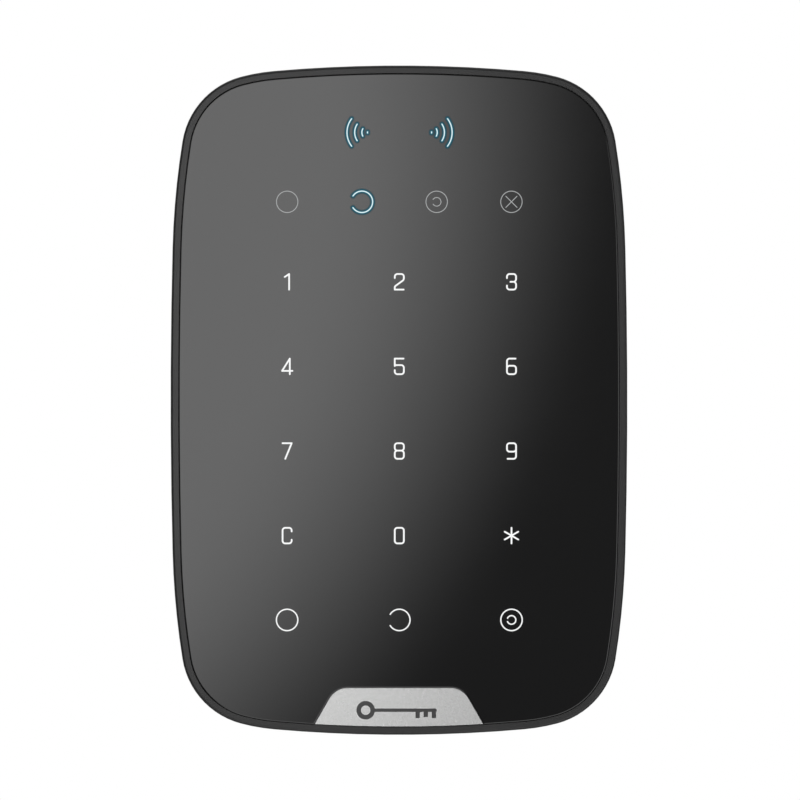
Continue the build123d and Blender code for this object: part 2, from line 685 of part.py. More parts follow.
def buzzer_case():
    low = BOARD_BACK - BUZZER_T
    case = disc(*BUZZER_AT, BUZZER_R, low, BOARD_BACK)
    case = fillet(edges_at(case, low), 0.6)
    case -= disc(*BUZZER_AT, BUZZER_R - 0.8, low + 0.8, BOARD_BACK + 1.0)
    return case - disc(*BUZZER_AT, 1.4, low - 1.0, low + 1.0)


def buzzer_disc():
    return disc(*BUZZER_AT, BUZZER_R - 0.85, BOARD_BACK - BUZZER_T + 1.6, BOARD_BACK - BUZZER_T + 1.9)


def switch_body(x, z):
    """A push switch on the back of the board, with a bore for its stem."""
    body = block(x, z, SWITCH_SIZE, SWITCH_SIZE, SWITCH_BACK, BOARD_BACK)
    bore = disc(x, z, SWITCH_STEM_R + 0.1, SWITCH_BACK - 1.0, BOARD_BACK - 0.5)
    return chamfer(edges_at(body, SWITCH_BACK), 0.3) - bore


def switch_stem(x, z):
    return disc(x, z, SWITCH_STEM_R, SWITCH_STEM_BACK, SWITCH_STEM_BACK + SWITCH_STEM_L)


def push_rod(x, z, tip, radius, flange_r, flange_low):
    """A pin through the back wall, with a flange inside it and a thinner rod to its switch."""
    rod = disc(x, z, radius, tip, flange_low + TINY)
    rod = fillet(edges_at(rod, tip), 0.5)
    rod += disc(x, z, flange_r, flange_low, flange_low + FLANGE_T)
    return rod + disc(x, z, 1.5, flange_low + FLANGE_T - 0.1, SWITCH_STEM_BACK)


def tamper_plunger():
    return push_rod(*PLUNGER, BRACKET_T + 0.03, PLUNGER_R, 3.4, PLUNGER_FLANGE)


def coil(length, turns, radius, wire):
    """A round-wire helix that rises along Z from its foot at zero."""
    path = Helix(pitch=length / turns, height=length, radius=radius)
    return sweep(Plane(origin=path @ 0, z_dir=path % 0) * Circle(wire), path=path, is_frenet=True)


def tamper_spring():
    """A coil between the plunger's flange and its switch."""
    low, high = PLUNGER_FLANGE + FLANGE_T + 0.25, SWITCH_BACK - 0.25
    return at_depth(low) * Pos(*PLUNGER) * coil(high - low, 6, 2.3, 0.2)


def power_button():
    return push_rod(*POWER_BUTTON, BACK + 0.3, POWER_BUTTON_R, 4.6, BACK + REAR_WALL + 0.2)


# ---- battery compartment -------------------------------------------------------------------
def cell_place(i):
    """X of a cell's axis and which way its positive end points."""
    return (i - (CELL_COUNT - 1) / 2) * CELL_PITCH, 1 if i % 2 == 0 else -1


def battery_tray():
    tray = block(0.0, BAY_Z, TRAY_W, TRAY_H, TRAY_BACK, TRAY_FRONT, radius=1.0)
    inner_w, inner_h = TRAY_W - 2 * TRAY_WALL, TRAY_H - 2 * TRAY_WALL
    tray -= block(0.0, BAY_Z, inner_w, inner_h, TRAY_BACK - 1.0, CRADLE_TOP, radius=0.5)
    for i in range(CELL_COUNT):
        x, _ = cell_place(i)
        tray -= Pos(x, -CELL_DEPTH, BAY_Z) * Cylinder(CELL_R + 0.12, inner_h)
    for side in (-1, 1):
        slot = block(side * CELL_PITCH / 2, BAY_Z, 3.0, 16.0, TRAY_BACK - 1.0, TRAY_FRONT)
        tray -= slot & block(0.0, BAY_Z, inner_w, inner_h, TRAY_FRONT - 3.2, TRAY_FRONT - 2.0)
    return tray


def cell(i):
    """A round cell standing along Z, with a crimped shoulder and a nub at its positive end."""
    x, way = cell_place(i)
    can = Pos(0, 0, -NUB_L / 2) * Cylinder(CELL_R, CELL_L - NUB_L)
    can = fillet(can.edges().filter_by(GeomType.CIRCLE), 0.5)
    groove = Cylinder(CELL_R + 1.0, 0.5) - Cylinder(CELL_R - 0.25, 0.5)
    can -= Pos(0, 0, CELL_L / 2 - NUB_L - 1.4) * groove
    nub = Pos(0, 0, CELL_L / 2 - NUB_L - 0.3 + (NUB_L + 0.3) / 2) * Cylinder(NUB_R, NUB_L + 0.3)
    nub = fillet(nub.edges().filter_by(GeomType.CIRCLE).sort_by(Axis.Z)[-1], 0.3)
    place = Pos(x, -CELL_DEPTH, BAY_Z + way * CELL_OFFSET)
    return place * Rot(0 if way > 0 else 180, 0, 0) * (can + nub)


def battery_contacts():
    """Spring-steel strips on the end walls: singles at the leads, pairs across two cells."""
    inner = TRAY_H / 2 - TRAY_WALL
    strips = []
    for z_side, groups in ((1, ((0,), (1, 2), (3,))), (-1, ((0, 1), (2, 3)))):
        for group in groups:
            xs = [cell_place(i)[0] for i in group]
            width = max(xs) - min(xs) + 11.0
            z = BAY_Z + z_side * (inner - CONTACT_T / 2)
            middle = (max(xs) + min(xs)) / 2
            strips.append(Pos(middle, -CELL_DEPTH + 1.2, z) * Box(width, 7.5, CONTACT_T))
    return all_of(strips)


def battery_springs():
    """A coil of wire at the flat end of each cell."""
    gap = TRAY_H / 2 - TRAY_WALL - CONTACT_T - (CELL_L / 2 - CELL_OFFSET)
    springs = []
    for i in range(CELL_COUNT):
        x, way = cell_place(i)
        wall = BAY_Z - way * (TRAY_H / 2 - TRAY_WALL - CONTACT_T - SPRING_WIRE / 2)
        spring = coil(gap - SPRING_WIRE, 4, 4.0, SPRING_WIRE / 2)
        springs.append(Pos(x, -CELL_DEPTH, wall) * Rot(0 if way > 0 else 180, 0, 0) * spring)
    return all_of(springs)


def battery_cover():
    """A flush lid with a thumb dish, a snap finger between two slits and an arrow."""
    top = COVER_BACK + COVER_T
    lid = block(0.0, BAY_Z, COVER_W, COVER_H, COVER_BACK, top, radius=1.4)
    lid = chamfer(edges_at(lid, COVER_BACK), 0.25)
    finger_z = BAY_Z + COVER_H / 2 - 5.0
    for side in (-1, 1):
        lid -= block(side * 7.0, finger_z, 0.9, 10.2, 0.0, top + 1.0)
    for i in range(5):
        lid -= block(0.0, finger_z - 3.0 + 1.5 * i, 9.0, 0.6, 0.0, COVER_BACK + 0.3)
    arrow = Polygon((-3.0, 0.0), (3.0, 0.0), (0.0, 4.0), align=None)
    return lid - slab(Pos(0.0, finger_z - 13.0) * arrow, 0.0, COVER_BACK + 0.3)


# ---- all the pieces ------------------------------------------------------------------------
PIECES = {
    "mounting_bracket": mounting_bracket(),
    "front_housing": front_housing(),
    "rear_housing": rear_housing(),
    "case_screws": case_screws(),
    "touch_lens": touch_lens(),
    "light_mask": light_mask(),
    "key_legends": inlays(key_legend_faces()),
    "function_legends": inlays(function_legend_faces()),
    "status_legends": inlays(status_legend_faces()),
    "lit_legends": inlays(lit_legend_faces()),
    "badge_plate": badge_plate(),
    "badge_symbol": badge_symbol(),
    "lens_adhesive": lens_adhesive(),
    "diffuser_film": diffuser_film(),
    "main_board": main_board(),
    "key_leds": leds(KEY_POSITIONS),
    "indicator_leds": leds(INDICATOR_SPOTS),
    "touch_electrodes": touch_electrodes(),
    "reader_antenna": reader_antenna(),
    "ferrite_sheet": ferrite_sheet(),
    "controller_chip": chip(4.0, 12.0, 9.0, 1.5, pins=8, pitch=0.95),
    "reader_chip": chip(24.0, 44.0, 5.0, 1.1, pins=5, pitch=0.8),
    "radio_module": radio_module(),
    "radio_antennas": radio_antennas(),
    "buzzer_case": buzzer_case(),
    "buzzer_disc": buzzer_disc(),
    "tamper_switch": switch_body(*PLUNGER),
    "tamper_switch_stem": switch_stem(*PLUNGER),
    "tamper_plunger": tamper_plunger(),
    "tamper_spring": tamper_spring(),
    "power_switch": switch_body(*POWER_BUTTON),
    "power_switch_stem": switch_stem(*POWER_BUTTON),
    "power_button": power_button(),
    "battery_tray": battery_tray(),
    "battery_contacts": battery_contacts(),
    "battery_springs": battery_springs(),
    "battery_cover": battery_cover(),
}
for number in range(CELL_COUNT):
    PIECES[f"cell_{number + 1}"] = cell(number)

os.makedirs("parts", exist_ok=True)
for node, shape in PIECES.items():
    export_step(shape, f"parts/{node}.step")
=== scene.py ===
"""Finishes for a wall keypad with a contactless card reader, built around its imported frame."""

import math

import bpy
import numpy as np
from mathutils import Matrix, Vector


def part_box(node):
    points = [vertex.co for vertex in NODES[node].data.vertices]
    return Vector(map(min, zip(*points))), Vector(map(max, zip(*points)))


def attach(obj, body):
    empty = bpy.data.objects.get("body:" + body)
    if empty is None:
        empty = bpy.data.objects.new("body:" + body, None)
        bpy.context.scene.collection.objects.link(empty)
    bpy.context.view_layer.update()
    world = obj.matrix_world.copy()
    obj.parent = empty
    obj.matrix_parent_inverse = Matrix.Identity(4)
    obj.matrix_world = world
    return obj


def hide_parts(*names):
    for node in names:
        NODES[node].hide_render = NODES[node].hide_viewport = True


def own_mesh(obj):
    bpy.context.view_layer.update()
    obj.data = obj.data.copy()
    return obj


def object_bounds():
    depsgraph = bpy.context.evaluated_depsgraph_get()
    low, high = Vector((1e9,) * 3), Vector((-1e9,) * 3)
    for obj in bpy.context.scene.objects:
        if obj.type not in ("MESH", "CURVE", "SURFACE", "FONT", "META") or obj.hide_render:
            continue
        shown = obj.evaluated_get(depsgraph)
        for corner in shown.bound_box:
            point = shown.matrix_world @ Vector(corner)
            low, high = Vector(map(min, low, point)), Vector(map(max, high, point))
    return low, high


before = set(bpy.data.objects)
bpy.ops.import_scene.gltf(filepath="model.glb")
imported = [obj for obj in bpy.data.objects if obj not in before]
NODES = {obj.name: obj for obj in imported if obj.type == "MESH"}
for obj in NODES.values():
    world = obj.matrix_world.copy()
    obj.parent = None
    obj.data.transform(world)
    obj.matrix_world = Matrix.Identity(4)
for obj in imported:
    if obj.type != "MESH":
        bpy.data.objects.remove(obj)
CAD_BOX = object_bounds()

bl_info = {
    "name": "Card reader keypad finishes",
    "version": (1, 0, 0),
    "blender": (4, 5, 0),
    "location": "View3D > Sidebar > Keypad",
    "description": "Moulded housing, smoked touch panel, lit legends and the parts behind them",
    "category": "Object",
}

MM = 0.001
BLACK = (0.0, 0.0, 0.0, 1.0)
WALL_TO_FACE = -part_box("touch_lens")[0][1]


# ---- settings --------------------------------------------------------------------------------
def size_prop(name, description, default):
    return bpy.props.FloatProperty(
        name=name, description=description, default=default, min=0.0, unit="LENGTH", precision=5
    )


def place_prop(name, description, default):
    return bpy.props.FloatProperty(name=name, description=description, default=default, unit="LENGTH")


def amount_prop(name, description, default, high=10.0):
    return bpy.props.FloatProperty(name=name, description=description, default=default, min=0.0, max=high)


def colour_prop(name, description, default):
    return bpy.props.FloatVectorProperty(
        name=name, description=description, default=default, size=3, min=0.0, max=1.0, subtype="COLOR"
    )


class KeypadStageSettings(bpy.types.PropertyGroup):
    camera_distance: size_prop("Camera distance", "From the touch face to the camera", 1.4)
    frame_width: size_prop("Frame width", "Width of the view at the touch face", 0.19715)
    aim_x: place_prop("Aim across", "How far right of the middle the camera aims", 0.00025)
    aim_z: place_prop("Aim height", "How far above the middle the camera aims", 0.00004)
    softbox_distance: size_prop("Softbox distance", "From the touch face to the key light", 2.6)
    softbox_size: size_prop("Softbox size", "Side of the key light's square", 2.4)
    softbox_glow: amount_prop("Softbox glow", "Radiance at the key light's middle", 3.376, 50.0)
    softbox_edge: amount_prop("Softbox edge", "Radiance beyond the key light's falloff", 0.232, 50.0)
    softbox_inner: size_prop("Falloff start", "Radius where the key light begins to fade", 0.4459)
    softbox_outer: size_prop("Falloff end", "Radius where the key light has faded", 0.6618)
    softbox_x: place_prop("Softbox across", "Middle of the key light, to the right", -0.5004)
    softbox_z: place_prop("Softbox height", "Middle of the key light, above the object's middle", 0.1998)
    room_back: amount_prop("Room, back", "Radiance of the room behind the object", 0.75)
    room_side: amount_prop("Room, side", "Radiance of the room elsewhere", 0.16)
    room_top: amount_prop("Room, top", "Radiance straight above", 0.7)
    room_fill: amount_prop("Room, fill", "Radiance of the room ahead of the object, right and below", 1.8)
    floor_drop: size_prop("Floor drop", "From the foot of the object to the floor", 1.2)
    floor_colour: colour_prop("Floor", "Colour of the floor", (0.82, 0.82, 0.81))


class KeypadHousingSettings(bpy.types.PropertyGroup):
    colour: colour_prop("Housing", "Moulded plastic of the two housings", (0.021, 0.021, 0.0213))
    bracket_colour: colour_prop("Bracket", "Moulded plastic of the wall bracket", (0.06, 0.06, 0.061))
    roughness: amount_prop("Roughness", "Roughness of the moulded plastic", 0.29, 1.0)
    grain: size_prop("Grain", "Size of the spark texture", 0.22 * MM)
    wear_width: size_prop("Edge wear", "Width of the polished edges", 0.35 * MM)


class KeypadFaceSettings(bpy.types.PropertyGroup):
    panel: colour_prop("Panel", "Gloss black of the touch panel", (0.0022, 0.0022, 0.0024))
    panel_roughness: amount_prop("Panel roughness", "Roughness of the touch panel", 0.045, 1.0)
    legend: colour_prop("Legends", "White legends of the keys", (0.93, 0.94, 0.94))
    # Unlit status marks emit this grey as a painted glow, standing in for the light their print reflects
    unlit_mark_painted_glow: colour_prop("Unlit marks", "Status marks that are dark", (0.4, 0.41, 0.415))
    lit_core: colour_prop("Lit marks", "Core of the lit marks", (0.74, 0.92, 0.95))
    halo: colour_prop("Halo", "Light that spreads round a lit mark", (0.018, 0.13, 0.185))
    halo_width: size_prop("Halo width", "How far the light spreads", 0.7 * MM)
    halo_grid: size_prop("Halo mesh", "Mesh size of the halo sheets", 0.13 * MM)


class KeypadBadgeSettings(bpy.types.PropertyGroup):
    metal: colour_prop("Badge", "Silver of the badge plate", (0.505, 0.507, 0.503))
    ink: colour_prop("Symbol", "Paint in the badge's symbol", (0.05, 0.05, 0.051))
    grain: size_prop("Blast grain", "Size of the blasted grain", 0.3 * MM)


class KeypadInsideSettings(bpy.types.PropertyGroup):
    board: colour_prop("Board", "Solder mask of the circuit board", (0.012, 0.105, 0.04))
    copper: colour_prop("Copper", "Plated copper", (0.75, 0.43, 0.2))
    steel: colour_prop("Steel", "Springs, contacts and cans", (0.62, 0.61, 0.59))
    cell_body: colour_prop("Cell sleeve", "Main part of a cell's sleeve", (0.1, 0.22, 0.28))
    cell_band: colour_prop("Cell band", "Band at a cell's positive end", (0.55, 0.56, 0.54))
    rubber: colour_prop("Rubber", "Power button", (0.12, 0.12, 0.125))
    tamper_wire: size_prop("Tamper wire", "Thickness of the tamper spring's wire", 0.4 * MM)
    tamper_turns: bpy.props.IntProperty(
        name="Tamper turns", description="Turns of the tamper spring", default=6
    )


SETTINGS = {
    "keypad_stage": KeypadStageSettings,
    "keypad_housing": KeypadHousingSettings,
    "keypad_face": KeypadFaceSettings,
    "keypad_badge": KeypadBadgeSettings,
    "keypad_inside": KeypadInsideSettings,
}


# ---- node trees ------------------------------------------------------------------------------
def rgba(colour, share=1.0, lift=0.0):
    """A colour with alpha, scaled to a share of its brightness and lifted."""
    return (*(min(1.0, c * share + lift) for c in colour), 1.0)


def add(tree, kind, inputs=None, **settings):
    """A node with its settings made and its inputs set or linked."""
    node = tree.nodes.new(kind)
    for key, value in settings.items():
        setattr(node, key, value)
    for key, value in (inputs or {}).items():
        if isinstance(value, bpy.types.NodeSocket):
            tree.links.new(value, node.inputs[key])
        else:
            node.inputs[key].default_value = value
    return node


def maths(tree, operation, *values, clamp=False):
    node = add(tree, "ShaderNodeMath", dict(enumerate(values)), operation=operation, use_clamp=clamp)
    return node.outputs[0]


def remap(tree, value, low, high, to_low=0.0, to_high=1.0, smooth=True):
    kind = "SMOOTHSTEP" if smooth else "LINEAR"
    inputs = {"Value": value, "From Min": low, "From Max": high, "To Min": to_low, "To Max": to_high}
    return add(tree, "ShaderNodeMapRange", inputs, interpolation_type=kind).outputs["Result"]


def blend(tree, factor, first, second):
    """One colour or socket mixed into another."""
    node = add(tree, "ShaderNodeMix", data_type="RGBA")
    for socket, value in ((0, factor), (6, first), (7, second)):
        if isinstance(value, bpy.types.NodeSocket):
            tree.links.new(value, node.inputs[socket])
        else:
            node.inputs[socket].default_value = value
    return node.outputs[2]


def effect(name, inputs, outputs):
    """An empty shader node group with named sockets, and its two end nodes."""
    tree = bpy.data.node_groups.new(name, "ShaderNodeTree")
    for label, kind, default in inputs:
        socket = tree.interface.new_socket(label, in_out="INPUT", socket_type=kind)
        if default is not None:
            socket.default_value = default
    for label, kind in outputs:
        tree.interface.new_socket(label, in_out="OUTPUT", socket_type=kind)
    return tree, tree.nodes.new("NodeGroupInput"), tree.nodes.new("NodeGroupOutput")


def make_grain():
    """Spark-eroded mould texture: a height, and a mask that varies the colour and gloss."""
    tree, source, sink = effect(
        "moulded grain",
        [("Size", "NodeSocketFloat", 0.0002)],
        [("Height", "NodeSocketFloat"), ("Mask", "NodeSocketFloat")],
    )
    place = add(tree, "ShaderNodeTexCoord").outputs["Object"]
    pitch = maths(tree, "DIVIDE", 1.0, source.outputs["Size"])
    cells = add(tree, "ShaderNodeTexVoronoi", {"Vector": place, "Scale": pitch}, feature="SMOOTH_F1")
    fine = add(tree, "ShaderNodeTexNoise", {"Vector": place, "Scale": pitch, "Detail": 2.0})
    height = maths(tree, "MULTIPLY_ADD", fine.outputs["Fac"], 0.6, cells.outputs["Distance"])
    tree.links.new(height, sink.inputs["Height"])
    tree.links.new(fine.outputs["Fac"], sink.inputs["Mask"])
    return tree


def make_edges():
    """A mask that is white along convex and concave edges, used for wear on the housings and for a painted
    highlight on the badge.
    """
    tree, source, sink = effect(
        "edge wear and painted highlight", [("Width", "NodeSocketFloat", 0.0003)], [("Mask", "NodeSocketFloat")]
    )
    rounded = add(tree, "ShaderNodeBevel", {"Radius": source.outputs["Width"]}, samples=4)
    plain = add(tree, "ShaderNodeNewGeometry")
    turn = add(tree, "ShaderNodeVectorMath", operation="DOT_PRODUCT")
    tree.links.new(rounded.outputs["Normal"], turn.inputs[0])
    tree.links.new(plain.outputs["Normal"], turn.inputs[1])
    mask = remap(tree, turn.outputs["Value"], 0.995, 0.8)
    tree.links.new(mask, sink.inputs["Mask"])
    return tree


def make_handling():
    """Slow, cloudy variation from handling and dust."""
    tree, source, sink = effect(
        "handling",
        [("Size", "NodeSocketFloat", 0.02), ("Seed", "NodeSocketFloat", 0.0)],
        [("Mask", "NodeSocketFloat")],
    )
    place = add(tree, "ShaderNodeTexCoord").outputs["Object"]
    shift = add(tree, "ShaderNodeVectorMath", {0: place, 1: source.outputs["Seed"]}, operation="ADD")
    pitch = maths(tree, "DIVIDE", 1.0, source.outputs["Size"])
    cloud = add(
        tree,
        "ShaderNodeTexNoise",
        {"Vector": shift.outputs[0], "Scale": pitch, "Detail": 5.0, "Roughness": 0.62, "Distortion": 0.4},
    )
    tree.links.new(remap(tree, cloud.outputs["Fac"], 0.35, 0.7), sink.inputs["Mask"])
    return tree


def make_flecks():
    """Bright metal flecks of even size, each with its own brightness."""
    tree, source, sink = effect(
        "flecks",
        [("Size", "NodeSocketFloat", 0.0002)],
        [("Value", "NodeSocketFloat"), ("Height", "NodeSocketFloat")],
    )
    place = add(tree, "ShaderNodeTexCoord").outputs["Object"]
    pitch = maths(tree, "DIVIDE", 1.0, source.outputs["Size"])
    cells = add(tree, "ShaderNodeTexVoronoi", {"Vector": place, "Scale": pitch}, feature="F1")
    grey = add(tree, "ShaderNodeSeparateColor", {"Color": cells.outputs["Color"]})
    tree.links.new(grey.outputs[0], sink.inputs["Value"])
    tree.links.new(grey.outputs[1], sink.inputs["Height"])
    return tree


EFFECTS = {"grain": make_grain, "edges": make_edges, "handling": make_handling, "flecks": make_flecks}
built_effects = {}


def use(tree, name, **inputs):
    """Places one of the shared effects in a material."""
    if name not in built_effects:
        built_effects[name] = EFFECTS[name]()
    node = tree.nodes.new("ShaderNodeGroup")
    node.node_tree = built_effects[name]
    for key, value in inputs.items():
        node.inputs[key].default_value = value
    return node.outputs


def new_material(name, **constants):
    """A material with one Principled shader, whose even values are set on its own sockets."""
    material = bpy.data.materials.new(name)
    material.use_nodes = True
    tree = material.node_tree
    tree.nodes.clear()
    shader = tree.nodes.new("ShaderNodeBsdfPrincipled")
    output = tree.nodes.new("ShaderNodeOutputMaterial")
    tree.links.new(shader.outputs[0], output.inputs[0])
    for key, value in constants.items():
        shader.inputs[key.replace("_", " ")].default_value = value
    return material, tree, shader.inputs


def bump(tree, height, strength, distance):
    inputs = {"Height": height, "Strength": strength, "Distance": distance}
    return add(tree, "ShaderNodeBump", inputs).outputs["Normal"]


def finish_nodes(material, *names):
    """Gives CAD nodes a material in place of their plain one."""
    for name in names:
        mesh = NODES[name].data
        mesh.materials.clear()
        mesh.materials.append(material)


# ---- materials -------------------------------------------------------------------------------
STREAK_WIDTH = 0.6 * MM
TRACKS_PER_METRE = (260.0, 1.0, 900.0)
EVEN = (1.0, 1.0, 1.0)  # streak of a metal with no way along it
POLISHED = 1.35  # brightness of worn plastic edges, as a share of the plastic's
MOULDING_DUST, PANEL_MARKS, TARNISH, FLOOR_CLOUD = 15.0, 3.0, 7.0, 1.0  # seeds of the handling effect


def moulded_plastic(name, colour, roughness, grain, wear, dust_seed):
    """Matte moulded plastic with spark texture, polished edges and a trace of dust."""
    material, tree, shader = new_material(name, IOR=1.49, Specular_IOR_Level=0.4)
    texture = use(tree, "grain", Size=grain)
    edges = use(tree, "edges", Width=wear)["Mask"]
    dust = use(tree, "handling", Size=30 * MM, Seed=dust_seed)["Mask"]
    speck = blend(tree, texture["Mask"], rgba(colour, 0.88), rgba(colour, 1.12))
    dusty = blend(tree, maths(tree, "MULTIPLY", dust, 0.12), speck, rgba(colour, 1.25, 0.01))
    worn = blend(tree, maths(tree, "MULTIPLY", edges, 0.35), dusty, rgba(colour, POLISHED))
    tree.links.new(worn, shader["Base Color"])
    gloss = maths(tree, "MULTIPLY_ADD", texture["Mask"], 0.12, roughness - 0.06)
    gloss = maths(tree, "MULTIPLY_ADD", edges, -0.08, gloss)
    tree.links.new(maths(tree, "MULTIPLY_ADD", dust, 0.05, gloss), shader["Roughness"])
    tree.links.new(bump(tree, texture["Height"], 0.05, grain * 0.5), shader["Normal"])
    return material


def smoked_acrylic(face):
    """Gloss black panel with faint wiping marks and a fine speck in its tint."""
    material, tree, shader = new_material("smoked_acrylic", IOR=1.5, Roughness=face.panel_roughness)
    marks = use(tree, "handling", Size=45 * MM, Seed=PANEL_MARKS)["Mask"]
    fine = use(tree, "grain", Size=0.16 * MM)["Mask"]
    tint = blend(tree, fine, rgba(face.panel, 0.7), rgba(face.panel, 1.3))
    tree.links.new(tint, shader["Base Color"])
    haze = maths(tree, "MULTIPLY_ADD", marks, 0.012, face.panel_roughness)
    tree.links.new(maths(tree, "MULTIPLY_ADD", fine, 0.01, haze), shader["Roughness"])
    return material


def glowing_legend(name, colour):
    """Translucent print that glows, a little uneven as print is; the keys' and lit marks' print is lit from
    behind, and the glow of the unlit status marks is painted light.
    """
    material, tree, shader = new_material(
        name, Roughness=0.35, Emission_Strength=1.0, Specular_IOR_Level=0.25
    )
    speck = use(tree, "grain", Size=0.12 * MM)["Mask"]
    even = blend(tree, speck, rgba(colour, 0.95), rgba(colour, 1.05))
    tree.links.new(even, shader["Emission Color"])
    base = blend(tree, speck, (0.02, 0.02, 0.02, 1.0), (0.03, 0.03, 0.03, 1.0))
    tree.links.new(base, shader["Base Color"])
    return material


def halo_light(face):
    """Light that has spread in the panel, fading with the distance from the lit mark."""
    material, tree, shader = new_material(
        "halo_light", Roughness=0.6, Emission_Strength=1.0, Specular_IOR_Level=0.0, Base_Color=BLACK
    )
    away = add(tree, "ShaderNodeAttribute", attribute_name="away_mm").outputs["Fac"]
    width = face.halo_width / MM
    near = remap(tree, away, 0.0, width * 0.5)
    colour = blend(tree, near, rgba(face.halo, 1.2), rgba(face.halo, 0.75))
    tree.links.new(colour, shader["Emission Color"])
    fade = remap(tree, away, 0.0, width, 0.95, 0.0)
    outside = remap(tree, away, -0.05, 0.02)
    tree.links.new(maths(tree, "MULTIPLY", fade, outside), shader["Alpha"])
    return material


def blasted_silver(badge):
    """Fine blasted metal with flecks, with a painted highlight of pale silver along its edges."""
    material, tree, shader = new_material("blasted_silver", Metallic=1.0)
    flecks = use(tree, "flecks", Size=badge.grain)
    fine = use(tree, "flecks", Size=badge.grain * 0.45)
    edges = use(tree, "edges", Width=0.16 * MM)["Mask"]
    spread = maths(tree, "MULTIPLY_ADD", flecks["Value"], 0.6, maths(tree, "MULTIPLY", fine["Value"], 0.4))
    metal = blend(tree, spread, rgba(badge.metal, 0.94), rgba(badge.metal, 1.06))
    # Painted highlight: the edges are mixed toward pale silver in place of light caught by their rounding
    painted_edge_highlight = blend(tree, maths(tree, "MULTIPLY", edges, 0.6), metal, (0.82, 0.82, 0.81, 1.0))
    tree.links.new(painted_edge_highlight, shader["Base Color"])
    tree.links.new(maths(tree, "MULTIPLY_ADD", fine["Value"], 0.05, 0.225), shader["Roughness"])
    tree.links.new(bump(tree, flecks["Height"], 0.03, badge.grain * 0.1), shader["Normal"])
    return material


def painted(name, colour, roughness=0.5, grain=0.15 * MM):
    """Any small painted or moulded piece."""
    material, tree, shader = new_material(name)
    texture = use(tree, "grain", Size=grain)
    tone = blend(tree, texture["Mask"], rgba(colour, 0.85), rgba(colour, 1.15))
    tree.links.new(tone, shader["Base Color"])
    gloss = maths(tree, "MULTIPLY_ADD", texture["Mask"], 0.15, roughness - 0.07)
    tree.links.new(gloss, shader["Roughness"])
    tree.links.new(bump(tree, texture["Height"], 0.08, grain * 0.4), shader["Normal"])
    return material


def drawn_metal(name, colour, roughness=0.3, streak=(1.0, 1.0, 14.0)):
    """Plated metal with fine streaks along one way and a little tarnish."""
    material, tree, shader = new_material(name, Metallic=1.0)
    place = add(tree, "ShaderNodeTexCoord").outputs["Object"]
    stretch = [1.0 / (STREAK_WIDTH * s) for s in streak]
    along = add(tree, "ShaderNodeVectorMath", {0: place, 1: stretch}, operation="MULTIPLY")
    lines = add(tree, "ShaderNodeTexNoise", {"Vector": along.outputs[0], "Scale": 1.0, "Detail": 3.0})
    tarnish = use(tree, "handling", Size=4 * MM, Seed=TARNISH)["Mask"]
    clean = blend(tree, lines.outputs["Fac"], rgba(colour, 0.8), rgba(colour, 1.15))
    dull = blend(tree, maths(tree, "MULTIPLY", tarnish, 0.3), clean, rgba(colour, 0.55))
    tree.links.new(dull, shader["Base Color"])
    rough = maths(tree, "MULTIPLY_ADD", lines.outputs["Fac"], 0.18, roughness - 0.08)
    tree.links.new(maths(tree, "MULTIPLY_ADD", tarnish, 0.12, rough), shader["Roughness"])
    tree.links.new(bump(tree, lines.outputs["Fac"], 0.1, 0.02 * MM), shader["Normal"])
    return material


def solder_mask(inside):
    """Green lacquer over copper tracks that run across and up the board."""
    material, tree, shader = new_material("solder_mask", IOR=1.5)
    place = add(tree, "ShaderNodeTexCoord").outputs["Object"]
    stretched = add(tree, "ShaderNodeVectorMath", {0: place, 1: TRACKS_PER_METRE}, operation="MULTIPLY")
    tracks = add(
        tree,
        "ShaderNodeTexVoronoi",
        {"Vector": stretched.outputs[0], "Scale": 1.0},
        distance="CHEBYCHEV",
    )
    runs = remap(tree, tracks.outputs["Distance"], 0.36, 0.42)
    grain = use(tree, "grain", Size=0.3 * MM)
    colour = blend(tree, runs, rgba(inside.board, 1.5, 0.01), rgba(inside.board))
    tree.links.new(colour, shader["Base Color"])
    tree.links.new(maths(tree, "MULTIPLY_ADD", grain["Mask"], 0.1, 0.24), shader["Roughness"])
    tree.links.new(bump(tree, runs, 0.3, 0.03 * MM), shader["Normal"])
    return material


SHOULDER_DEPTH, BARE_TOP_R, BARE_FOOT_R = 2.2 * MM, 5.9 * MM, 6.2 * MM  # bare ends of a cell


